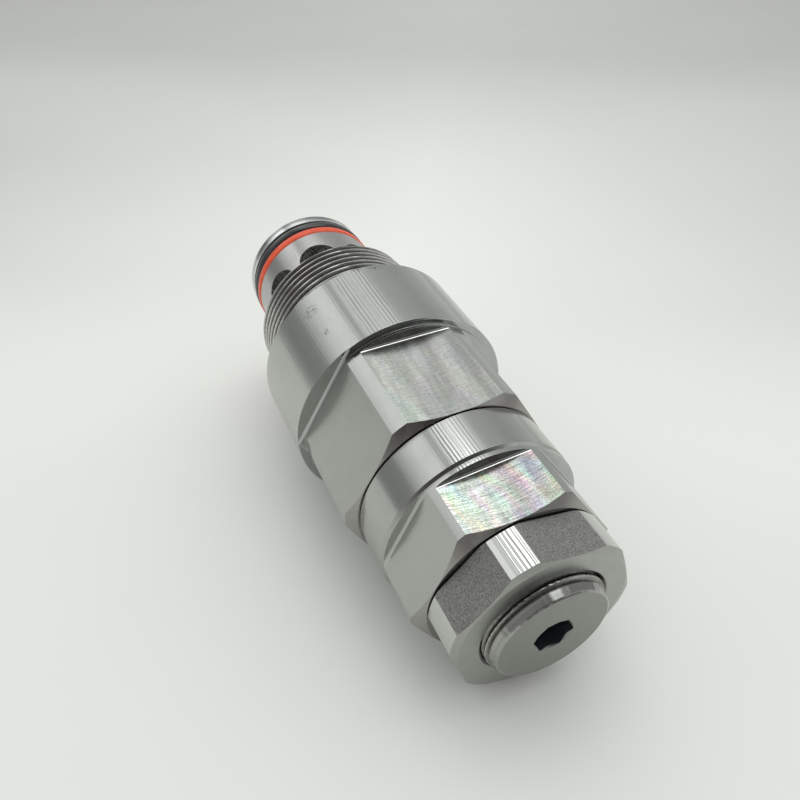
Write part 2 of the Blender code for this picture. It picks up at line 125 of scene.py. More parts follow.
class Graph:
    """Builds nodes. An input may be a Field, a socket or a plain value."""

    def __init__(self, tree):
        self.tree = tree
        self.tree.nodes.clear()

    def put(self, socket, value):
        if isinstance(value, Field):
            value = value.socket
        if value is None:
            return
        if isinstance(value, bpy.types.NodeSocket):
            self.tree.links.new(value, socket)
        elif socket.type == 'RGBA':
            socket.default_value = (*value, 1.0)
        else:
            socket.default_value = value

    def add_node(self, kind, inputs=(), **settings):
        """inputs is a dict by socket name or index, or a sequence in socket order."""
        made = self.tree.nodes.new(kind)
        for key, value in settings.items():
            setattr(made, key, value)
        pairs = inputs.items() if isinstance(inputs, dict) else enumerate(inputs)
        for key, value in pairs:
            self.put(made.inputs[key], value)
        return made

    def field(self, kind, inputs=(), out=0, **settings):
        return Field(self, self.add_node(kind, inputs, **settings).outputs[out])

    def math(self, operation, *values):
        return self.field("ShaderNodeMath", values, operation=operation)

    def vector(self, x, y, z):
        return self.field("ShaderNodeCombineXYZ", (x, y, z))

    def split(self, vector):
        made = self.add_node("ShaderNodeSeparateXYZ", (vector,))
        return [Field(self, socket) for socket in made.outputs]

    def vector_math(self, operation, *values, out=0):
        return self.field("ShaderNodeVectorMath", values, out, operation=operation)

    def dot(self, first, second):
        return self.vector_math('DOT_PRODUCT', first, second, out="Value")

    def noise(self, vector, scale=1.0, detail=2.0, rough=0.5, distortion=0.0, out="Fac"):
        return self.field("ShaderNodeTexNoise",
                          {"Vector": vector, "Scale": scale, "Detail": detail,
                           "Roughness": rough, "Distortion": distortion},
                          out, noise_dimensions='3D')

    def ramp(self, value, start, end, to=(0.0, 1.0), smooth=True):
        """Runs from to[0] at start to to[1] at end, and is held beyond them."""
        return self.field("ShaderNodeMapRange", (value, start, end, *to), clamp=True,
                          interpolation_type='SMOOTHSTEP' if smooth else 'LINEAR')

    def mix_color(self, factor, first, second):
        return self.field("ShaderNodeMix", {0: factor, 6: first, 7: second}, 2,
                          data_type='RGBA')

    def mix_value(self, factor, first, second):
        return self.field("ShaderNodeMix", {0: factor, 2: first, 3: second},
                          data_type='FLOAT')

    def stain(self, color, toward, mask, strength):
        """Moves a colour toward another where the mask is high."""
        return self.mix_color(mask * strength, color, toward)

    def scale_color(self, color, factor):
        return self.field("ShaderNodeVectorMath", {0: color, "Scale": factor},
                          operation='SCALE')

    def bevel(self, radius_mm):
        return self.field("ShaderNodeBevel", {"Radius": radius_mm * MM}, samples=4)

    def bump(self, height, depth_mm, normal=None, strength=1.0):
        return self.field("ShaderNodeBump", {"Strength": strength, "Distance": depth_mm * MM,
                                             "Height": height, "Normal": normal})


class Look(Graph):
    """A material with coordinates in millimetres, for a piece turned on the valve axis."""

    def __init__(self, name):
        self.material = bpy.data.materials.new(name)
        self.material.use_nodes = True
        super().__init__(self.material.node_tree)
        x, y, z = self.split(self.field("ShaderNodeTexCoord", out="Object"))
        self.x = x * 1000.0 - SHOULDER_MM
        self.y = y * 1000.0
        self.z = z * 1000.0
        self.spot = self.vector(self.x, self.y, self.z)

    @cached_property
    def radius(self):
        return self.math('SQRT', self.y * self.y + self.z * self.z)

    @cached_property
    def travel(self):
        """Changes both along a cylinder and across a turned face."""
        return self.x + self.radius

    @cached_property
    def geometry(self):
        return self.add_node("ShaderNodeNewGeometry").outputs

    def grain(self, along, around, seed=0.0, detail=2.0, rough=0.6):
        """Noise with one frequency along the tool's travel and another round the piece.

        A low `along` draws it into streaks, a low `around` into turning rings.
        """
        vector = self.vector(self.travel * along + seed, self.y * around, self.z * around)
        return self.noise(vector, detail=detail, rough=rough)

    def chatter(self, count, seed):
        """Fine lines along the axis, left all round by a chattering tool."""
        psi = self.math('ARCTAN2', self.y * -1.0, self.z) * (180.0 / math.pi)
        drift = self.grain(along=0.06, around=0.22, seed=seed, rough=0.5)
        wave = self.math('SINE', psi * (count * math.pi / 180.0) + drift * 5.0)
        patches = self.grain(along=0.02, around=0.12, seed=seed + 3.0, detail=1.0)
        return wave * self.ramp(patches, 0.30, 0.60, to=(0.55, 1.0))

    def smudge(self, x, y, z, size):
        """A small patch of dirt round a point given in millimetres."""
        distance = self.vector_math('DISTANCE', self.spot, (x, y, z), out="Value")
        near = self.ramp(distance, size, size * 0.35)
        ragged = self.noise(self.spot, scale=1.5, detail=3.0, rough=0.7)
        return near * self.ramp(ragged, 0.46, 0.60)

    def glint_band(self, wide=11.0, tight=8.5):
        """1 where a turned surface faces half-way between lamp and eye; limits in degrees."""
        geometry = self.add_node("ShaderNodeNewGeometry").outputs
        half = self.vector_math('ADD', geometry["Incoming"], LAMP)
        across_axis = self.vector_math('MULTIPLY', half, (0.0, 1.0, 1.0))
        unit = self.vector_math('NORMALIZE', across_axis)
        return self.ramp(self.dot(self.geometry["Normal"], unit),
                         math.cos(math.radians(wide)), math.cos(math.radians(tight)))

    def worn_edges(self, color, strength, bright):
        edges = self.ramp(self.geometry["Pointiness"], 0.53, 0.62)
        return self.stain(color, bright, edges, strength)

    def finish(self, color, rough, normal, metallic=1.0, aniso=0.0, extra=None):
        inputs = {"Base Color": color, "Roughness": rough, "Metallic": metallic,
                  "Normal": normal, **(extra or {})}
        if aniso:
            inputs["Anisotropic"] = aniso
            inputs["Anisotropic Rotation"] = 0.25
            inputs["Tangent"] = self.field("ShaderNodeTangent", direction_type='RADIAL',
                                           axis='X')
        shader = self.field("ShaderNodeBsdfPrincipled", inputs)
        self.add_node("ShaderNodeOutputMaterial", (shader,))
        return self.material


def times(color, *factors):
    """Scales a colour's channels, by one factor each or by one for all."""
    if len(factors) == 1:
        factors *= 3
    return tuple(c * f for c, f in zip(color, factors))


# ============================================================================
# kinds of material; wave, line, depth and bevel are in millimetres
# ============================================================================
def steel_turned(name, base=STEEL, rough=0.17, count=200, wave=0.0125, line=0.0012,
                 stain=0.25, bevel=0.12, seed=0.0, ring_rate=5.5, ring_shade=0.0, dirt=(),
                 always=0.09):
    """Satin turned steel: chatter lines, ring marks, faint stains, and optional painted shade
    in dark rings.

    count: chatter lines round the piece. wave, line: depth of chatter and of rings.
    ring_shade: darkness of the rings painted dark, painted shade between lighter lines. dirt:
    smudges (x, y, z, size).
    always: how much of the chatter shows outside the glint.
    """
    look = Look(name)
    streaks = look.grain(along=0.08, around=2.4, seed=9.1 + seed)
    rings = look.grain(along=ring_rate, around=0.03, seed=4.2 + seed)
    blotches = look.noise(look.spot, scale=0.16, detail=4.0, rough=0.6)
    specks = look.ramp(look.noise(look.spot, scale=1.1, detail=3.0), 0.70, 0.76)

    height = look.chatter(count, seed) + streaks * 0.45
    shown = always + look.glint_band() * (1.0 - always)
    normal = look.bump(height, wave, look.bevel(bevel), shown)
    normal = look.bump(rings, line, normal)

    color = look.stain(base, times(base, 0.82, 0.82, 0.80),
                       look.ramp(blotches, 0.35, 0.75), strength=stain)
    color = look.stain(color, times(base, 0.6, 0.58, 0.55), specks, strength=0.30)
    for smudge in dirt:
        color = look.stain(color, (0.10, 0.095, 0.085), look.smudge(*smudge), strength=0.7)
    # painted shade: dark rings, so that the lines between them read as highlights
    if ring_shade:
        color = look.stain(color, (0.10, 0.11, 0.11), look.ramp(rings, 0.44, 0.56),
                           strength=ring_shade)
    color = look.worn_edges(color, strength=0.5, bright=(0.72, 0.72, 0.70))
    rough = rough + (blotches - 0.5) * 0.10 + (rings - 0.5) * 0.08
    return look.finish(color, rough, normal, aniso=0.5)


def steel_milled(name, painted_glint_gain, contrast, colour, turn=0.0, fine=1.0):
    """Milled flats: cutter lines across the flat, and a painted highlight with a faint
    rainbow tint where they face the glint direction.

    painted_glint_gain: brightness of the painted highlight. contrast: of the cutter lines.
    colour: of the rainbow tint.
    turn: slant of the lines. fine: how close they lie.
    """
    look = Look(name)
    x, y, z = look.x, look.y, look.z
    # painted highlight mask: flats facing GLINT, a fixed direction between lamp and eye
    painted_glint_mask = look.ramp(look.dot(look.geometry["Normal"], GLINT), 0.955, 0.985)
    bowed = x + y * y * 0.010 + y * turn
    cuts = look.noise(look.vector(bowed * (3.3 * fine), y * 0.22, z * 0.22), rough=0.7)
    dashes = look.noise(look.vector(bowed * (3.2 * fine), y * (1.6 * fine), z * 1.6),
                        rough=0.75)
    broad = look.noise(look.vector(x * 0.035, y * 0.30 + x * 0.02, 3.0),
                       detail=3.0, rough=0.55)
    hue = look.noise(look.vector(x * 0.075, y * 0.26 + x * -0.03, 7.0),
                     detail=3.0, rough=0.6, distortion=0.8, out="Color")
    channels = look.add_node("ShaderNodeSeparateColor", (hue,)).outputs
    swing = 0.36 * colour
    rainbow = look.field("ShaderNodeCombineColor", [
        look.ramp(channels[i], 0.32, 0.68, to=(middle * (1 - swing), middle * (1 + swing)),
                  smooth=False)
        for i, middle in enumerate(STEEL)])

    lines = cuts * 0.5 + dashes * 0.5
    level = (look.ramp(lines, 0.36, 0.64, to=(1.0 - contrast, 1.0 + contrast * 1.15),
                       smooth=False)
             * look.ramp(broad, 0.32, 0.68, to=(0.80, 1.22)))
    # colour of the painted highlight, streaked by the cutter lines
    bright = look.scale_color(rainbow, level * painted_glint_gain)
    blotches = look.noise(look.spot, scale=0.12, detail=4.0, rough=0.6)
    color = look.stain(STEEL, times(STEEL, 0.88, 0.89, 0.86),
                       look.ramp(blotches, 0.35, 0.7), strength=0.25)
    # painted highlight: it replaces the base colour where the flats face GLINT
    color = look.mix_color(painted_glint_mask, color, bright)
    normal = look.bump(lines, 0.004, look.bevel(0.13), 0.12 + painted_glint_mask * 0.88)
    return look.finish(color, 0.26 + (blotches - 0.5) * 0.10, normal)


def steel_thread(name, root, crest, base, root_shade_dark, root_shade_light, depth=0.012):
    """A thread: painted highlight above the crest radius, painted shade below the root
    radius, both mottled.
    """
    look = Look(name)
    high = look.ramp(look.radius, root, crest)
    dirt = look.noise(look.spot, scale=1.1, detail=4.0, rough=0.65)
    flecks = look.noise(look.spot, scale=4.5)
    # painted shade in the roots: mottled dark grey below the root radius
    root_shade = look.mix_color(look.ramp(dirt, 0.35, 0.7), root_shade_dark, root_shade_light)
    # painted highlight on the crests, flecked lighter
    bright = look.mix_color(look.ramp(flecks, 0.4, 0.62), times(base, 0.9), times(base, 1.3))
    color = look.mix_color(high * look.ramp(dirt, 0.2, 0.45, to=(0.75, 1.0)), root_shade, bright)
    normal = look.bump(flecks * 0.5 + dirt, depth, look.bevel(0.06))
    return look.finish(color, look.mix_value(high, 0.46, 0.24), normal)


def steel_cast(name, size=1.0, low=(0.22, 0.22, 0.212), high=(0.44, 0.44, 0.425)):
    """Blasted flats and rough bores: dark grey with light grains of a relative size."""
    look = Look(name)
    grain = look.noise(look.spot, scale=3.6 / size, rough=0.6)
    specks = look.ramp(look.noise(look.spot, scale=4.6 / size, rough=0.6, distortion=0.2),
                       0.55, 0.68)
    patches = look.noise(look.spot, scale=0.35, detail=3.0)
    color = look.mix_color(look.ramp(grain, 0.34, 0.66), low, high)
    color = look.stain(color, (0.62, 0.62, 0.58), specks, strength=0.5)
    color = look.stain(color, (0.26, 0.25, 0.23), look.ramp(patches, 0.4, 0.7), strength=0.3)
    normal = look.bump(grain + specks * 0.5, 0.05, look.bevel(0.15))
    return look.finish(color, 0.42 + grain * 0.16, normal)


def steel_plain(name, base, rough, line, ring_rate, aniso=0.3, worn=0.5):
    """Turned faces and inside pieces; line is the depth of the rings, worn the edge wear."""
    look = Look(name)
    rings = look.grain(along=ring_rate, around=0.02, seed=2.0, detail=3.0)
    blotches = look.noise(look.spot, scale=0.3, detail=4.0, rough=0.6)
    nicks = look.ramp(look.noise(look.spot, scale=1.9), 0.70, 0.76)
    normal = look.bump(rings + nicks * -0.8, line, look.bevel(0.12))
    color = look.stain(base, times(base, 0.82, 0.81, 0.79),
                       look.ramp(blotches, 0.35, 0.7), strength=0.3)
    color = look.stain(color, times(base, 0.55, 0.53, 0.5), nicks, strength=0.3)
    if worn:
        color = look.worn_edges(color, strength=worn, bright=(0.7, 0.7, 0.68))
    return look.finish(color, rough + (rings - 0.5) * 0.12, normal, aniso=aniso)


def rubber(name, base):
    look = Look(name)
    dust = look.noise(look.spot, scale=2.6, detail=4.0, rough=0.65)
    smear = look.noise(look.spot, scale=0.5, detail=3.0)
    color = look.stain(base, (0.09, 0.09, 0.095), look.ramp(dust, 0.5, 0.75), strength=0.35)
    return look.finish(color, 0.10 + smear * 0.16, look.bump(dust + smear, 0.03),
                       metallic=0.0,
                       extra={"Specular IOR Level": 0.7, "Coat Weight": 0.25,
                              "Coat Roughness": 0.25})


def seal_plastic(name, base, shaded, rough, subsurface):
    look = Look(name)
    mottle = look.noise(look.spot, scale=0.9, detail=4.0, rough=0.6)
    fine = look.noise(look.spot, scale=4.0, detail=3.0)
    color = look.mix_color(look.ramp(mottle, 0.35, 0.7), base, shaded)
    normal = look.bump(fine * 0.5 + mottle, 0.012, look.bevel(0.1))
    return look.finish(color, rough + (fine - 0.5) * 0.2, normal, metallic=0.0,
                       extra={"Specular IOR Level": 0.5, "Subsurface Weight": subsurface,
                              "Subsurface Radius": (0.0012, 0.0004, 0.0002)})


# ============================================================================
# materials
# ============================================================================
COLLAR = steel_turned("turned_steel", base=(0.49, 0.505, 0.477), wave=0.019,
                      dirt=((6.5, -15.7, 22.2, 2.6), (1.0, -1.6, 27.1, 1.9),
                            (0.9, 3.2, 27.0, 2.6), (16.0, -15.0, 22.7, 1.2)))
HOUSING_STEEL = steel_turned("turned_steel_bright", base=(0.48, 0.49, 0.467), count=190,
                             wave=0.011, seed=5.0)
# milled flats, with a painted highlight where they face GLINT
BODY_FLAT = steel_milled("milled_steel", painted_glint_gain=1.12, contrast=0.20, colour=0.16, turn=0.03)
HOUSING_FLAT = steel_milled("milled_steel_bright", painted_glint_gain=1.10, contrast=0.56, colour=0.50,
                            fine=1.45)
FACE = steel_plain("faced_steel", base=(0.47, 0.485, 0.455), rough=0.27, line=0.0016,
                   ring_rate=3.2)
WALL = steel_plain("wall_steel", base=(0.50, 0.51, 0.50), rough=0.20, line=0.0005,
                   ring_rate=3.0, aniso=0.0)
# painted highlight: light steel for the fillets of the flat that faces up
FILLET_HIGHLIGHT = steel_plain("fillet_painted_highlight", base=(0.82, 0.83, 0.81), rough=0.16, line=0.0003,
                     ring_rate=2.0, aniso=0.0)
# chamfers: a darker, browner steel, painted reflection of dark surroundings
CHAMFER_REFLECTION = steel_plain("chamfer_painted_reflection", base=(0.42, 0.405, 0.39), rough=0.20, line=0.0010,
                      ring_rate=4.0, aniso=0.0)
# body thread: painted highlight on the crests, painted shade in the roots
THREAD = steel_thread("thread_steel", root=22.1, crest=22.55, base=(0.58, 0.59, 0.565),
                      root_shade_dark=(0.15, 0.138, 0.13), root_shade_light=(0.27, 0.252, 0.238))
BARREL = steel_turned("nose_steel", base=(0.49, 0.487, 0.478), rough=0.26, wave=0.003,
                      line=0.0016)
# lip: light steel with painted dark rings, painted highlight lines with painted shade between
# them
LIP_HIGHLIGHTS = steel_turned("lip_painted_highlights", base=(0.76, 0.78, 0.77), rough=0.12, wave=0.004,
                   line=0.020, ring_rate=1.3, seed=3.0, ring_shade=0.62)
BORE = steel_plain("bore_steel", base=(0.36, 0.355, 0.34), rough=0.34, line=0.003,
                   ring_rate=3.0)
PORT = steel_cast("port_steel", size=2.6, low=(0.16, 0.155, 0.145), high=(0.62, 0.61, 0.58))
NUT_FLAT = steel_cast("nut_blasted")
NUT_LAND = steel_turned("nut_land", base=(0.60, 0.61, 0.585), rough=0.15, count=150,
                        wave=0.021, line=0.001, bevel=0.08, seed=2.0)
NUT_FACE = steel_plain("nut_face", base=(0.44, 0.45, 0.425), rough=0.33, line=0.0045,
                       ring_rate=2.4, aniso=0.0, worn=0.0)
# screw thread: painted highlight on the crests, painted shade in the roots
SCREW_THREAD = steel_thread("screw_thread", root=13.05, crest=13.36,
                            base=(0.46, 0.465, 0.445), root_shade_dark=(0.26, 0.25, 0.237),
                            root_shade_light=(0.40, 0.39, 0.37), depth=0.022)
# screw band: faint painted shade in its rings
SCREW_BAND = steel_turned("screw_band", base=(0.42, 0.425, 0.405), rough=0.14, count=40,
                          wave=0.030, line=0.004, stain=0.6, bevel=0.1, seed=1.0,
                          ring_rate=3.0, ring_shade=0.22, always=0.55)
SCREW_FACE = steel_plain("screw_face", base=(0.31, 0.317, 0.296), rough=0.32, line=0.0045,
                         ring_rate=2.2, aniso=0.0, worn=0.0)
SOCKET = steel_plain("socket_steel", base=(0.36, 0.40, 0.43), rough=0.30, line=0.010,
                     ring_rate=2.0, aniso=0.0)
GROUND = steel_plain("ground_steel", base=(0.58, 0.58, 0.57), rough=0.18, line=0.001,
                     ring_rate=7.0)
SPRING = steel_plain("spring_wire", base=(0.20, 0.20, 0.21), rough=0.35, line=0.004,
                     ring_rate=2.0, aniso=0.0)
BRASS = steel_plain("orifice_brass", base=(0.72, 0.50, 0.20), rough=0.26, line=0.002,
                    ring_rate=5.0)
RUBBER = rubber("o_ring_rubber", base=(0.026, 0.025, 0.027))
# washers: near-black, partly the seals' own rubber, partly painted shade in the gaps they
# fill
WASHER_RUBBER_AND_SHADE = rubber("washer_rubber_and_shade", base=(0.012, 0.012, 0.013))
ORANGE = seal_plastic("ring_orange", base=(0.86, 0.105, 0.034), shaded=(0.72, 0.066, 0.020),
                      rough=0.32, subsurface=0.08)
WHITE = seal_plastic("ring_white", base=(0.80, 0.79, 0.74), shaded=(0.70, 0.68, 0.62),
                     rough=0.42, subsurface=0.0)


# ============================================================================
# meshes
# ============================================================================
def on_axis(x):
    return ((x + SHOULDER_MM) * MM, 0, 0)


def around_axis(x, radius, angle):
    """Scene position of a point; the angle is psi in radians."""
    return ((x + SHOULDER_MM) * MM, -radius * math.sin(angle) * MM,
            radius * math.cos(angle) * MM)


def soft(points, rounding=0.12, steps=4):
    """Rounds each corner of an (x, radius) outline; a third value sets its own rounding."""
    rounded = []
    for i, point in enumerate(points):
        size = point[2] if len(point) > 2 else rounding
        corner = Vector(point[:2])
        back = Vector(points[i - 1][:2]) - corner
        ahead = Vector(points[(i + 1) % len(points)][:2]) - corner
        angle = back.angle(ahead, 0.0)
        bends = math.radians(4) <= angle <= math.radians(176)
        if size <= 0 or corner.y < 1e-6 or not bends:
            rounded.append((corner.x, corner.y))
            continue
        reach = min(size / math.tan(angle / 2), 0.42 * back.length, 0.42 * ahead.length)
        start = corner + back.normalized() * reach
        end = corner + ahead.normalized() * reach
        for k in range(steps + 1):
            s = k / steps
            on_curve = start * (1 - s) ** 2 + corner * 2 * s * (1 - s) + end * s ** 2
            rounded.append((on_curve.x, on_curve.y))
    return rounded


def spread(x0, x1, step, radius):
    """Points along a straight stretch, close enough together to carry a thread."""
    count = max(2, int(round(abs(x1 - x0) / step)))
    return [(x0 + (x1 - x0) * i / count, radius) for i in range(count + 1)]


def ring_section(x, radius, thickness, sides, stretch=1.0):
    """A round section of radius `thickness`, stretched along the axis."""
    return [(x + thickness * math.cos(math.tau * i / sides) * stretch,
             radius + thickness * math.sin(math.tau * i / sides)) for i in range(sides)]


def square_section(x0, x1, inner, outer, rounding):
    return soft([(x0, inner), (x0, outer), (x1, outer), (x1, inner)], rounding)


def weld(mesh, finish_step):
    """Merges coincident vertices, then runs one more bmesh step."""
    bm = bmesh.new()
    bm.from_mesh(mesh)
    bmesh.ops.remove_doubles(bm, verts=bm.verts, dist=2e-7)
    finish_step(bm)
    bm.to_mesh(mesh)
    bm.free()


def link_object(name, mesh):
    obj = bpy.data.objects.new(name, mesh)
    bpy.context.scene.collection.objects.link(obj)
    return obj


def new_object(name, verts, faces, materials=()):
    mesh = bpy.data.meshes.new(name)
    mesh.from_pydata([tuple(v) for v in verts], [], faces)
    weld(mesh, lambda bm: bmesh.ops.recalc_face_normals(bm, faces=bm.faces))
    obj = link_object(name, mesh)
    for material in materials:
        mesh.materials.append(material)
    return obj


def object_from(bm, name="cutter"):
    mesh = bpy.data.meshes.new(name)
    bm.to_mesh(mesh)
    bm.free()
    return link_object(name, mesh)


def lathe(name, outline, materials=(), segments=BIG, radius_of=None):
    """Spins an outline round the valve axis.

    radius_of(x, radius, angle) may change each radius. The outline is closed unless both
    its ends lie on the axis.
    """
    verts, rows = [], []
    for x, radius in outline:
        if radius < 1e-6:
            rows.append([len(verts)] * segments)
            verts.append(on_axis(x))
            continue
        rows.append(range(len(verts), len(verts) + segments))
        for i in range(segments):
            angle = math.tau * i / segments
            here = radius_of(x, radius, angle) if radius_of else radius
            verts.append(around_axis(x, here, angle))
    closed = outline[0][1] > 1e-6 or outline[-1][1] > 1e-6
    count = len(outline)
    faces = []
    for j in range(count if closed else count - 1):
        row, following = rows[j], rows[(j + 1) % count]
        for i in range(segments):
            k = (i + 1) % segments
            face = list(dict.fromkeys([row[i], row[k], following[k], following[i]]))
            if len(face) > 2:
                faces.append(face)
    return new_object(name, verts, faces, materials)


def thread(root, crest, pitch, crest_x, crest_psi, limit, flat=0.16, ragged=0.0):
    """radius_of for a right-hand thread.

    A mid-crest or mid-root lies at crest_x, crest_psi. limit(x) is the largest radius,
    or None where there is no thread. flat is the width of flats in half pitches.
    """
    def radius_of(x, radius, angle):
        largest = limit(x)
        if largest is None:
            return radius
        turns = (x - crest_x) / pitch - (angle - math.radians(crest_psi)) / math.tau
        saw = abs(2.0 * (turns - math.floor(turns)) - 1.0)
        height = min(1.0, max(0.0, (saw - flat) / (1.0 - 2.0 * flat)))
        height = height * 0.85 + 0.15 * (height * height * (3 - 2 * height))
        here = root + (crest - root) * height
        if ragged and height > 0.6:
            nicks = math.sin(angle * 37.0 + x * 9.0) * math.sin(angle * 91.0 + 1.3) - 0.4
            here += ragged * nicks * (height - 0.6) * 2.5
        return min(here, largest)
    return radius_of


def coil(name, x0, x1, mean_radius, wire_radius, turns, start=0.0, end=None):
    """A compression spring with closed ends, of which only turns start to end are made."""
    steps, sides = 28, 12
    count = int(turns * steps)
    first = int(start * steps)
    last = count if end is None else int(end * steps)
    closed, slow = 0.9, 2.05 * wire_radius      # turns closed at each end, and their pitch
    verts = []
    for i in range(first, last + 1):
        turn = i / count * turns
        if turn < closed:
            x = x0 + slow * turn
        elif turn > turns - closed:
            x = x1 - slow * (turns - turn)
        else:
            s = (turn - closed) / (turns - 2 * closed)
            x = (x0 + slow * closed) * (1 - s) + (x1 - slow * closed) * s
        for k in range(sides):
            angle = math.tau * k / sides
            verts.append(around_axis(x + wire_radius * math.sin(angle),
                                     mean_radius + wire_radius * math.cos(angle),
                                     turn * math.tau))
    faces = []
    for i in range(last - first):
        for k in range(sides):
            n = (k + 1) % sides
            faces.append([i * sides + k, i * sides + n,
                          (i + 1) * sides + n, (i + 1) * sides + k])
    faces.append(list(range(sides)))
    faces.append([(last - first) * sides + k for k in range(sides)])
    return new_object(name, verts, faces, [SPRING])


# ---- cutters ---------------------------------------------------------------------
def prism(verts):
    """A cutter from two matching end loops, listed one after the other."""
    n = len(verts) // 2
    faces = [list(range(n)), list(range(n, 2 * n))]
    faces += [[i, (i + 1) % n, n + (i + 1) % n, n + i] for i in range(n)]
    return new_object("cutter", verts, faces)


def hexagon_plug(across, psi, x0, x1):
    radius = across / 2.0 / math.cos(math.pi / 6.0)
    return prism([around_axis(x, radius, math.radians(psi + 30.0 + 60.0 * k))
                  for x in (x0, x1) for k in range(6)])


def flat_cutters(across, psi, starts, x1):
    """Six cutters, one for each flat; starts gives each flat's (wall x, fillet radius)."""
    inner, outer, half_width = across / 2.0, 45.0, 34.0
    tools = []
    for k, (x0, fillet) in enumerate(starts):
        section = [(x0 + fillet * (1 - math.sin(math.pi / 2 * i / 10)),
                    inner + fillet * (1 - math.cos(math.pi / 2 * i / 10)))
                   for i in range(11)]
        section += [(x0, outer), (x1, outer), (x1, inner)]
        angle = math.radians(psi + 60.0 * k)
        out = Vector((0, -math.sin(angle), math.cos(angle)))
        along = Vector((0, math.cos(angle), math.sin(angle)))
        tools.append(prism([Vector(on_axis(x)) + out * away * MM + along * side * MM
                            for side in (-half_width, half_width) for x, away in section]))
    return tools


def rod(x, psi, radius, length):
    """A straight round cutter across the axis."""
    bm = bmesh.new()
    bmesh.ops.create_cone(bm, cap_ends=True, segments=48, radius1=radius * MM,
                          radius2=radius * MM, depth=length * MM)
    bm.transform(Matrix.Translation(on_axis(x))
                 @ Matrix.Rotation(math.radians(psi), 4, 'X'))
    return object_from(bm)


def block(x, length, width, height):
    """A box cutter centred on the axis."""
    bm = bmesh.new()
    bmesh.ops.create_cube(bm, size=1.0)
    bm.transform(Matrix.Translation(on_axis(x))
                 @ Matrix.Diagonal((length * MM, width * MM, height * MM, 1)))
    return object_from(bm)


def cut(obj, *tools):
    """Boolean differences, applied at once, so that the mesh is final."""
    for tool in tools:
        modifier = obj.modifiers.new("cut", 'BOOLEAN')
        modifier.operation = 'DIFFERENCE'
        modifier.solver = 'EXACT'
        modifier.object = tool
    bpy.context.view_layer.update()
    depsgraph = bpy.context.evaluated_depsgraph_get()
    mesh = bpy.data.meshes.new_from_object(obj.evaluated_get(depsgraph))
    obj.modifiers.clear()
    old = obj.data
    obj.data = mesh
    mesh.name = old.name
    bpy.data.meshes.remove(old)
    for tool in tools:
        bpy.data.objects.remove(tool, do_unlink=True)
    weld(mesh, lambda bm: bmesh.ops.dissolve_degenerate(bm, edges=bm.edges, dist=2e-7))


# ---- surfaces and hand-over ------------------------------------------------------
def paint(obj, materials, rule):
    """rule(x, radius, psi, normal) gives each face's material."""
    for face in obj.data.polygons:
        center = face.center
        x = center.x * 1000.0 - SHOULDER_MM
        y, z = center.y * 1000.0, center.z * 1000.0
        psi = math.degrees(math.atan2(-y, z))
        face.material_index = materials.index(rule(x, math.hypot(y, z), psi, face.normal))


def on_flat(normal, psi):
    """True where a face is one of a hexagon's six flats."""
    angle = math.degrees(math.atan2(-normal.y, normal.z)) - psi
    off = abs((angle + 30.0) % 60.0 - 30.0)
    return abs(normal.x) < 0.02 and off < 0.6


def shade(obj, angle, weighted=True):
    """Smooth shading, with edges beyond the angle and end faces kept crisp."""
    obj.data.shade_smooth()
    obj.data.set_sharp_from_angle(angle=math.radians(angle))
    for face in obj.data.polygons:
        if abs(face.normal.x) > 0.9998:
            face.use_smooth = False
    if weighted:
        obj.data.update()
        modifier = obj.modifiers.new("normals", 'WEIGHTED_NORMAL')
        modifier.keep_sharp = True
        modifier.weight = 60


def place(obj, body, replaced, angle=19.0, weighted=True):
    shade(obj, angle, weighted)
    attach(obj, body)
    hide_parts(replaced)
    return obj


def turned_part(name, outline, material, body, replaced, segments=SMALL, angle=19.0):
    """A piece of one material that needs no cutting."""
    place(lathe(name, outline, [material], segments), body, replaced, angle)


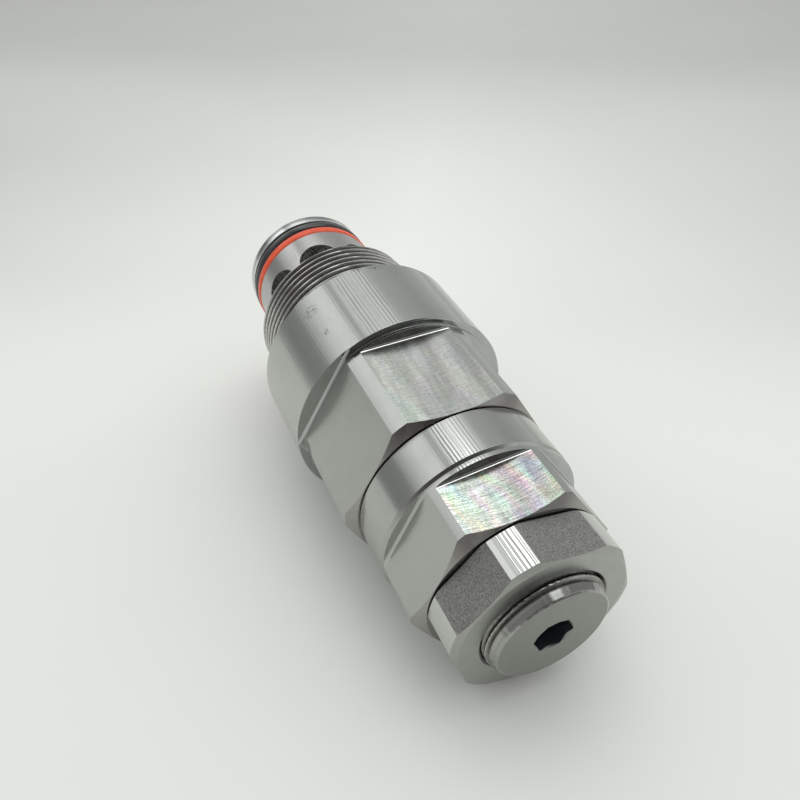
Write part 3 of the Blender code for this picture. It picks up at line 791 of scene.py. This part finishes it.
# ============================================================================
# outside pieces; outlines are (x, radius[, rounding])
# ============================================================================
def build_body():
    def limit(x):
        if x < THREAD_FRONT - 0.01 or x > THREAD_REAR + 0.65:
            return None
        front = 21.5 + (x - THREAD_FRONT)
        rear = THREAD_CREST - max(0.0, x - THREAD_REAR) * 2.4
        return min(THREAD_CREST, front, rear)

    outline = spread(THREAD_FRONT, THREAD_REAR + 0.6, 0.11, THREAD_CREST)
    outline += soft([
        # relief behind the thread, shoulder, collar and hexagon
        (THREAD_REAR + 0.75, 21.0, 0.0), (-3.9, 20.9, 0.3), (-0.35, 20.9, 0.35),
        (0.0, 21.3, 0.0), (0.0, 26.45, 0.10), (0.75, BODY_COLLAR, 0.12),
        (25.3, BODY_COLLAR, 0.08), (25.6, 26.9, 0.06), (25.6, BODY_LAND, 0.10),
        (51.38, BODY_LAND, 0.06), (52.75, 23.15, 0.05),
        # bore, back toward the nose
        (52.75, 21.8, 0.08), (51.6, 21.8, 0.05), (51.6, 15.9, 0.05), (51.2, 15.5, 0.05),
        (28.0, 15.5, 0.1), (28.0, 13.1, 0.05), (17.7, 13.1, 0.05), (17.7, 11.5, 0.1),
        (5.0, 11.5, 0.1), (5.0, 12.7, 0.1), (-2.0, 12.7, 0.1), (-2.0, 16.3, 0.05),
        (-18.6, 16.3, 0.1), (THREAD_FRONT, 16.7, 0.05)])
    materials = [COLLAR, BODY_FLAT, THREAD, FACE, WALL, BORE, CHAMFER_REFLECTION, FILLET_HIGHLIGHT]
    body = lathe("body_fine", outline, materials, radius_of=thread(
        THREAD_ROOT, THREAD_CREST, THREAD_PITCH, crest_x=-17.88, crest_psi=24.5,
        limit=limit))
    cut(body, *flat_cutters(BODY_HEX, BODY_HEX_PSI,
                            [(26.35, 0.60), (25.15, 0.85), (25.35, 0.8),
                             (26.2, 0.6), (25.9, 0.7), (26.3, 0.6)], 60.0))

    def rule(x, radius, psi, normal):
        if x < -18.9 and normal.x < -0.9:
            return FACE
        if x < -4.3 and radius > 17.5:
            return THREAD
        if radius < 21.85 and not (-4.5 < x < 1.0 and radius > 20):
            return BORE
        if 26.0 < x < 52.9 and on_flat(normal, BODY_HEX_PSI):
            return BODY_FLAT
        # painted reflection: the chamfers get the darker steel
        if x > 51.2 and normal.x > 0.3:
            return CHAMFER_REFLECTION
        if x > 25.0 and abs(normal.x) > 0.05:
            # painted highlight: only the fillets of the flat facing up get the light fillet
            # steel
            top = abs(psi - BODY_HEX_PSI) < 31.0
            rounded = abs(normal.x) < 0.93 and x < 27.5 and radius < 26.9
            return FILLET_HIGHLIGHT if rounded and top else WALL
        if abs(normal.x) > 0.5:
            return FACE
        return COLLAR
    paint(body, materials, rule)
    return place(body, "cartridge", "valve_body")


def build_sleeve():
    outline = soft([
        # outside, with the nose seal groove
        (-45.8, 17.15, 0.12), (-45.0, 18.0, 0.15), (-42.2, 18.0, 0.12), (-42.2, 15.0, 0.15),
        (-35.25, 15.0, 0.15), (-35.25, 18.0, 0.12), (-19.3, 18.0, 0.05), (-19.3, 16.0, 0.05),
        (-12.0, 16.0, 0.05), (-12.0, 14.4, 0.1), (-9.4, 14.4, 0.1), (-9.4, 16.0, 0.05),
        (-2.8, 16.0, 0.1), (-2.3, 15.6, 0.1),
        # bore
        (-2.3, 12.5, 0.1), (-38.5, 12.5, 0.2), (-38.5, 11.2, 0.05), (-40.2, 9.5, 0.05),
        (-45.1, 9.5, 0.1), (-45.8, 10.2, 0.1)])
    materials = [BARREL, LIP_HIGHLIGHTS, BORE, PORT, FACE]
    sleeve = lathe("sleeve_fine", outline, materials)
    # each rod goes right through, so four make eight ports
    cut(sleeve, *[rod(-23.6, psi=9.7 + 45.0 * k, radius=5.5, length=60.0)
                  for k in range(4)])

    def rule(x, radius, psi, normal):
        if x < -44.9 and normal.x < -0.5:
            return FACE
        # the lip gets the steel with painted highlight lines
        if x < -42.0 and radius > 15.6:
            return LIP_HIGHLIGHTS
        angle = math.radians(psi)
        outward = normal.z * math.cos(angle) - normal.y * math.sin(angle)
        if radius > 16.9 and outward > 0.9:
            return BARREL
        return PORT if -30.0 < x < -17.0 and radius > 12.8 else BORE
    paint(sleeve, materials, rule)
    return place(sleeve, "cartridge", "nose_sleeve")


def build_housing():
    outline = soft([
        # stem inside the body, with its seal groove
        (28.3, 14.4, 0.05), (29.1, 15.2, 0.1), (33.0, 15.2, 0.05), (33.0, 13.4, 0.1),
        (36.4, 13.4, 0.1), (36.4, 15.2, 0.05), (52.96, 15.2, 0.05),
        # collar and hexagon
        (52.96, 22.66, 0.04), (53.1, HOUSING_COLLAR, 0.04),
        (HOUSING_TOUCH, HOUSING_COLLAR, 0.12), (64.55, 22.2, 0.1), (64.8, 22.2, 0.08),
        (65.15, HOUSING_LAND, 0.1), (78.15, HOUSING_LAND, 0.06), (79.7, 19.98, 0.05),
        # bore
        (79.7, 14.25, 0.08), (79.2, 13.75, 0.05), (63.7, 13.75, 0.1), (63.7, 7.9, 0.05),
        (63.4, 7.6, 0.05), (28.3, 7.6, 0.1)])
    materials = [HOUSING_STEEL, HOUSING_FLAT, FACE, WALL, BORE, CHAMFER_REFLECTION, FILLET_HIGHLIGHT]
    housing = lathe("housing_fine", outline, materials)
    cut(housing, *flat_cutters(HOUSING_HEX, HOUSING_HEX_PSI,
                               [(65.9, 0.55), (65.05, 0.70), (65.3, 0.6),
                                (65.9, 0.5), (65.8, 0.5), (65.9, 0.5)], 86.0))

    def rule(x, radius, psi, normal):
        slope = abs(normal.x)
        by_wall = 65.2 < x < 68.0
        if radius < 14.3 or x < 53.0 or (x > 79.6 and radius < 19.0):
            return BORE
        if x > 65.6 and on_flat(normal, HOUSING_HEX_PSI):
            return HOUSING_FLAT
        # painted reflection: the chamfers get the darker steel
        if x > 78.0 and normal.x > 0.3:
            return CHAMFER_REFLECTION
        # painted highlight: only the fillets of the flat facing up get the light fillet steel
        if by_wall and 0.05 < slope < 0.93 and radius < 22.5 \
                and abs(psi - HOUSING_HEX_PSI) < 31.0:
            return FILLET_HIGHLIGHT
        if (by_wall and slope > 0.06) or slope > 0.9:
            return WALL
        if slope > 0.4:
            return FACE
        return HOUSING_STEEL
    paint(housing, materials, rule)
    return place(housing, "cartridge", "pilot_housing")


def build_nut():
    outline = soft([
        (80.05, 17.6, 0.05), (80.05, 19.72, 0.05), (80.3, NUT_LAND_RADIUS, 0.05),
        (89.13, NUT_LAND_RADIUS, 0.06), (89.7, 18.45, 0.06), (89.7, 18.3, 0.0),
        (89.7, 18.0, 0.0), (89.7, 14.5, 0.0), (89.7, 14.3, 0.0), (89.7, 14.08, 0.06),
        (89.25, 13.62, 0.05), (81.7, 13.62, 0.05), (81.7, 17.6, 0.1)])
    materials = [NUT_FLAT, NUT_LAND, NUT_FACE, BORE]
    nut = lathe("nut_fine", outline, materials)
    cut(nut, *flat_cutters(NUT_HEX, NUT_HEX_PSI, [(74.0, 0.5)] * 6, 96.0))

    def rule(x, radius, psi, normal):
        if radius < 14.0:
            return BORE
        if on_flat(normal, NUT_HEX_PSI):
            return NUT_FLAT
        if abs(normal.x) > 0.35:
            return NUT_FACE
        return NUT_LAND
    paint(nut, materials, rule)
    return place(nut, "nut_set", "lock_nut")


def build_screw():
    def limit(x):
        if x < 71.4 or x > 90.95:
            return None
        return min(SCREW_CREST, 12.0 + (x - 70.4),
                   SCREW_CREST - max(0.0, x - 90.45) * 2.2)

    outline = soft([(62.0, 0.0), (62.0, 5.4, 0.1), (62.6, 6.0, 0.2), (70.1, 6.0, 0.2),
                    (70.1, 11.8, 0.1), (71.3, 12.6, 0.0)])
    outline += spread(SCREW_THREAD_FRONT, SCREW_THREAD_REAR, 0.12, SCREW_CREST)
    outline += soft([(SCREW_THREAD_REAR, 12.65, 0.0), (90.98, 12.55, 0.1),
                     (91.2, 12.55, 0.1), (91.32, 12.90, 0.08), (92.8, 12.40, 0.06),
                     (SCREW_END, 11.95, 0.06), (SCREW_END, 11.86, 0.0),
                     (SCREW_END, 11.5, 0.0)])
    outline.append((SCREW_END, 0.0))
    materials = [SCREW_BAND, SCREW_THREAD, SCREW_FACE, SOCKET]
    screw = lathe("screw_fine", outline, materials, radius_of=thread(
        SCREW_ROOT, SCREW_CREST, SCREW_PITCH, crest_x=90.25, crest_psi=20.0, limit=limit,
        flat=0.14, ragged=0.10))
    # the six-sided key socket and its countersink
    countersink = lathe("cutter", [(94.2, 0.0), (94.2, 5.36), (92.6, 3.76), (92.0, 0.0)],
                        segments=64)
    cut(screw, hexagon_plug(SOCKET_HEX, SOCKET_PSI, 84.2, 97.0), countersink)

    def rule(x, radius, psi, normal):
        slope = abs(normal.x)
        if radius < 5.2 and x > 83.5 and (slope < 0.98 or x < 92.9):
            return SCREW_FACE if x > 92.0 and slope > 0.4 else SOCKET
        if x > 93.0 and slope > 0.9:
            return SCREW_FACE
        if x < 91.0:
            return SCREW_THREAD
        return SCREW_BAND
    paint(screw, materials, rule)
    return place(screw, "screw_set", "adjusting_screw", angle=30.0)


# ============================================================================
# seals
# ============================================================================
# object, x, mean radius, section radius, body it rides on, CAD piece
SMALL_O_RINGS = [
    ("sleeve_o_ring_fine", -10.7, 15.35, 0.75, "cartridge", "sleeve_o_ring"),
    ("seat_o_ring_fine", 22.7, 12.1, 0.75, "cartridge", "pilot_seat_o_ring"),
    ("housing_o_ring_fine", 34.7, 14.35, 0.75, "cartridge", "housing_o_ring"),
    ("plunger_o_ring_fine", 56.75, 6.5, 0.82, "spring_seat_set", "plunger_o_ring"),
]
# object, (x0, x1, inner radius, outer radius, rounding), body it rides on, CAD piece
WASHERS = [
    ("joint_ring_fine", (51.9, 52.7, 16.6, 21.4, 0.25), "cartridge", "joint_ring"),
    ("nut_washer_fine", (80.0, 81.4, 14.1, 17.3, 0.3), "nut_washer_set", "lock_nut_seal"),
]
WHITE_RINGS = [
    ("plunger_backup_fine", (57.95, 59.3, 5.8, 7.32, 0.15), "spring_seat_set",
     "plunger_backup_ring"),
    ("poppet_ring_fine", (-10.0, -8.2, 10.7, 12.3, 0.12), "main_poppet_set",
     "poppet_seal_ring"),
]


def build_seals():
    turned_part("nose_o_ring_fine", ring_section(-40.37, 16.63, 1.60, 36, stretch=1.08),
                RUBBER, "cartridge", "nose_o_ring", BIG, angle=60)
    turned_part("nose_backup_fine",
                soft([(-38.5, 15.3, 0.5), (-38.5, 18.22, 1.25),
                      (-35.3, 18.22, 1.25), (-35.3, 15.3, 0.5)], steps=10),
                ORANGE, "cartridge", "nose_backup_ring", BIG, angle=60)
    # the washers in near-black rubber: seal colour and painted shade in the gaps
    for name, section, body, replaced in WASHERS:
        turned_part(name, square_section(*section), WASHER_RUBBER_AND_SHADE, body,
                    replaced, BIG, angle=60)
    for name, x, radius, thickness, body, replaced in SMALL_O_RINGS:
        turned_part(name, ring_section(x, radius, thickness, 20), RUBBER, body,
                    replaced, angle=60)
    for name, section, body, replaced in WHITE_RINGS:
        turned_part(name, square_section(*section), WHITE, body, replaced)


# ============================================================================
# inside pieces; outlines are (x, radius[, rounding])
# ============================================================================
def build_main_poppet():
    outline = soft([
        (-41.3, 2.6, 0.1), (-41.3, 7.8, 0.25), (-38.0, 11.1, 0.15), (-36.8, 11.1, 0.3),
        (-34.4, 8.8, 1.2), (-18.5, 8.8, 1.2), (-16.5, 12.2, 0.4), (-10.3, 12.2, 0.1),
        (-10.3, 10.4, 0.1), (-7.9, 10.4, 0.1), (-7.9, 12.2, 0.1), (-2.6, 12.2, 0.4),
        (-2.6, 7.4, 0.3), (-33.5, 7.4, 0.5), (-33.5, 2.6, 0.1)], steps=5)
    turned_part("main_poppet_fine", outline, GROUND, "main_poppet_set",
                "main_poppet", BIG)


def build_orifice():
    """A brass plug with a cross slot in its nose end."""
    orifice = lathe("orifice_fine", square_section(-41.0, -33.8, 0.6, 2.3, 0.12), [BRASS],
                    TINY)
    cut(orifice, block(-41.2, length=1.6, width=0.7, height=6))
    place(orifice, "main_poppet_set", "poppet_orifice")


def build_pilot_seat():
    outline = soft([
        (14.5, 1.2), (14.5, 3.7), (15.0, 4.0), (18.0, 4.0, 0.3), (18.0, 12.4), (18.4, 12.8),
        (21.4, 12.8), (21.4, 11.2), (24.0, 11.2), (24.0, 12.8), (27.7, 12.8), (27.7, 2.4),
        (26.5, 1.2)], rounding=0.1)
    turned_part("pilot_seat_fine", outline, GROUND, "cartridge",
                "pilot_seat")


def build_pilot_poppet():
    outline = soft([
        (25.6, 0.0), (25.6, 0.28, 0.05), (30.3, 3.0, 0.3), (33.0, 3.0, 0.3),
        (33.0, 5.6, 0.2), (34.6, 5.6, 0.2), (34.6, 2.6, 0.2), (38.1, 2.6, 0.1),
        (38.5, 2.2, 0.1), (38.5, 0.0)])
    turned_part("pilot_poppet_fine", outline, GROUND, "pilot_poppet_set",
                "pilot_poppet")


def build_spring_seat():
    outline = soft([
        (50.0, 0.0), (50.0, 2.2, 0.1), (50.4, 2.6, 0.1), (54.0, 2.6, 0.3), (54.0, 7.2, 0.2),
        (55.6, 7.2, 0.1), (55.6, 5.5, 0.1), (59.6, 5.5, 0.1), (59.6, 7.2, 0.1),
        (61.7, 7.2, 0.2), (61.7, 0.0)])
    turned_part("spring_seat_fine", outline, GROUND, "spring_seat_set",
                "spring_seat")


def build_main_spring():
    spring = place(coil("main_spring_fine", -32.3, 16.8, mean_radius=5.6, wire_radius=0.85,
                        turns=8),
                   "cartridge", "main_spring", angle=60, weighted=False)
    on_axis(18.0)
    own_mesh(spring)


def build_pilot_spring():
    """Two lengths, split at one turn, each baked into place where it lies."""
    split_turn, split_x = 1.36, 39.2
    # object, first turn, last turn, body at the nose end, at the far end, and their x
    lengths = [
        ("pilot_spring_fine", split_turn, 5.0, "cartridge", "spring_seat_set",
         split_x, 52.0),
        ("pilot_spring_front_fine", 0.0, split_turn, "pilot_poppet_set", "cartridge",
         36.8, split_x),
    ]
    for name, start, end, near_body, far_body, near_x, far_x in lengths:
        spring = coil(name, 35.7, 52.9, mean_radius=3.7, wire_radius=0.72, turns=5,
                      start=start, end=end)
        shade(spring, angle=60, weighted=False)
        on_axis(near_x)
        on_axis(far_x)
        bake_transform(spring)
        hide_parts("pilot_spring")


# ============================================================================
# floor, light, camera
# ============================================================================
def floor_paint():
    """Pale paint with painted shade: darker far from the camera and close before it, and
    shaded differently in reflections.
    """
    material = bpy.data.materials.new("floor_paint")
    material.use_nodes = True
    graph = Graph(material.node_tree)
    cloud = graph.noise(graph.field("ShaderNodeTexCoord", out="Object"), scale=9.0,
                        detail=4.0)
    x, y, _ = graph.split(graph.field("ShaderNodeNewGeometry", out="Position"))
    # metres away from the camera, and sideways
    away = x * -0.86 + y * 0.51
    across = x * 0.51 + y * 0.86 + 0.015
    color = graph.mix_color(graph.ramp(cloud, 0.3, 0.7), (0.805, 0.815, 0.79),
                            (0.79, 0.80, 0.775))
    # painted shade: darker far from the camera, and a little darker close before it
    far = graph.ramp(away, 0.10, 0.62, to=(1.0, 0.655))
    near = graph.ramp(away, -0.22, -0.05, to=(0.93, 1.0))
    # seen directly, painted shade darkens the floor to both sides
    side_shade = (graph.ramp(away, 0.0, 0.12, to=(0.15, 1.30))
            * graph.ramp(away, 0.18, 0.46, to=(1.0, 0.34)))
    seen = (graph.ramp(away, -0.05, 0.08, to=(1.0, 1.08))
            - side_shade * graph.math('ABSOLUTE', across))
    # mirrored in the steel, painted shade darkens it toward +X
    mirrored = graph.ramp(x, 0.10, 0.24, to=(1.0, 0.40)) * 0.94
    is_mirror = graph.field("ShaderNodeLightPath", out="Is Glossy Ray")
    # the painted shade scales the floor colour
    level = far * near * graph.mix_value(is_mirror, seen, mirrored)
    shader = graph.field("ShaderNodeBsdfPrincipled",
                         {"Base Color": graph.scale_color(color, level),
                          "Roughness": 0.55, "Specular IOR Level": 0.25})
    graph.add_node("ShaderNodeOutputMaterial", (shader,))
    return material


def build_floor(pieces):
    """The valve lies on its two collars, so the floor is the plane that touches both."""
    slope = -(BODY_COLLAR - HOUSING_COLLAR) / (HOUSING_TOUCH - BODY_TOUCH)
    # tipped along the camera's heading
    up = Vector((slope, slope * HEADING_Y / HEADING_X, 1.0)).normalized()
    clearance = 0.03
    lowest = min(up.dot(v.co) for piece in pieces for v in piece.data.vertices) / MM
    bm = bmesh.new()
    bmesh.ops.create_grid(bm, x_segments=8, y_segments=8, size=1.6)
    floor = object_from(bm, "floor")
    floor.rotation_mode = 'QUATERNION'
    floor.rotation_quaternion = up.to_track_quat('Z', 'Y')
    floor.location = up * (lowest - clearance) * MM
    floor.data.materials.append(floor_paint())


# sky brightness round the valve axis: psi in degrees, level
SKY_STOPS = [
    (-180, 0.60), (-125, 0.95), (-104, 0.74), (-84, 0.55), (-64, 0.48), (-44, 0.56),
    (-24, 0.66), (-8, 0.78), (6, 0.80), (13, 0.62), (17, 0.60), (24, 1.13), (36, 1.13),
    (46, 0.92), (56, 0.66), (66, 0.34), (84, 0.30), (96, 0.46), (120, 0.65), (180, 0.60),
]


def build_world():
    world = bpy.data.worlds.new("studio")
    bpy.context.scene.world = world
    world.use_nodes = True
    graph = Graph(world.node_tree)
    direction = graph.field("ShaderNodeTexCoord", out="Generated")
    x, y, z = graph.split(direction)
    turn = graph.math('ARCTAN2', y * -1.0, z) * (1.0 / math.tau)

    def patch(center, wide, tight):
        """Soft patch of sky: 0 beyond wide degrees of a direction, 1 within tight."""
        return graph.ramp(graph.dot(direction, Vector(center).normalized()),
                          math.cos(math.radians(wide)), math.cos(math.radians(tight)))

    # toward the nose the sky changes round the axis
    gradient = graph.add_node("ShaderNodeValToRGB", (turn + 0.5,))
    gradient.color_ramp.interpolation = 'EASE'
    elements = gradient.color_ramp.elements
    elements[0].position, elements[1].position = 0.0, 1.0
    for i, (psi, level) in enumerate(SKY_STOPS):
        if i == 0:
            element = elements[0]
        elif i == len(SKY_STOPS) - 1:
            element = elements[-1]
        else:
            element = elements.new((psi + 180.0) / 360.0)
        element.color = (level, level, level, 1.0)
    nose_side = graph.math('MULTIPLY', gradient.outputs[0], 1.0)

    # toward the screw it is even, with bright and dark patches
    screw_side = 0.38 + patch((-0.10, 0.30, 0.95), wide=24, tight=9) * 1.9
    screw_side = screw_side + patch((0.85, 0.05, 0.45), wide=55, tight=34) * -0.31
    screw_side = screw_side + patch((0.62, 0.78, 0.02), wide=42, tight=14) * 0.45
    sky = graph.mix_value(graph.ramp(x, -0.38, 0.02), nose_side, screw_side)

    # a long lamp along the valve, in turns round the axis, and a small bright one
    start, end, edge = -27.0 / 360, 3.0 / 360, 5.0 / 360
    strip = (graph.ramp(turn, start - edge, start + edge)
             * graph.ramp(turn, end - edge, end + edge, to=(1.0, 0.0)))
    long_lamp = graph.ramp(x, -0.80, -0.56, to=(0.24, 0.44)) * strip
    sky = sky + long_lamp * graph.ramp(x, -0.40, -0.30, to=(1.0, 0.0))
    sky = sky + patch((-0.495, 0.050, 0.87), wide=9.5, tight=5.0) * 1.6
    sky = graph.math('MAXIMUM', sky, 0.04)

    # reflections see that sky, diffuse light a plain one, the camera a flat tone
    hue = graph.mix_color(patch((0.95, -0.28, 0.14), wide=42, tight=14),
                          (1.0, 1.014, 1.008), (1.12, 0.95, 0.90))
    reflected = graph.scale_color(hue, sky)
    key = Vector((-0.50, 0.36, 0.79)).normalized()
    from_key = graph.math('MAXIMUM', graph.dot(direction, key), 0.0)
    diffuse = graph.scale_color((1.0, 1.01, 0.985), 0.60 + from_key * from_key * 0.975)
    ray = graph.add_node("ShaderNodeLightPath").outputs
    light = graph.mix_color(ray["Is Diffuse Ray"], reflected, diffuse)
    tone = graph.mix_color(ray["Is Camera Ray"], light, (0.77, 0.785, 0.755))
    background = graph.field("ShaderNodeBackground", {0: tone, 1: 1.0})
    graph.add_node("ShaderNodeOutputWorld", (background,))


def build_camera():
    data = bpy.data.cameras.new("camera")
    data.sensor_width = 36.0
    data.lens = 33.72
    data.clip_start = 0.005
    data.clip_end = 20.0
    camera = link_object("camera", data)
    camera.location = CAMERA_PLACE
    camera.rotation_mode = 'QUATERNION'
    camera.rotation_quaternion = Vector(CAMERA_AIM).to_track_quat('-Z', 'Y')
    bpy.context.scene.camera = camera


outside = [build_body(), build_sleeve(), build_housing(), build_nut(), build_screw()]
build_seals()
build_main_poppet()
build_orifice()
build_pilot_seat()
build_pilot_poppet()
build_spring_seat()
build_main_spring()
build_pilot_spring()

build_floor(outside)
build_world()
build_camera()
bpy.context.scene.view_settings.view_transform = 'Standard'
bpy.context.scene.view_settings.look = 'None'
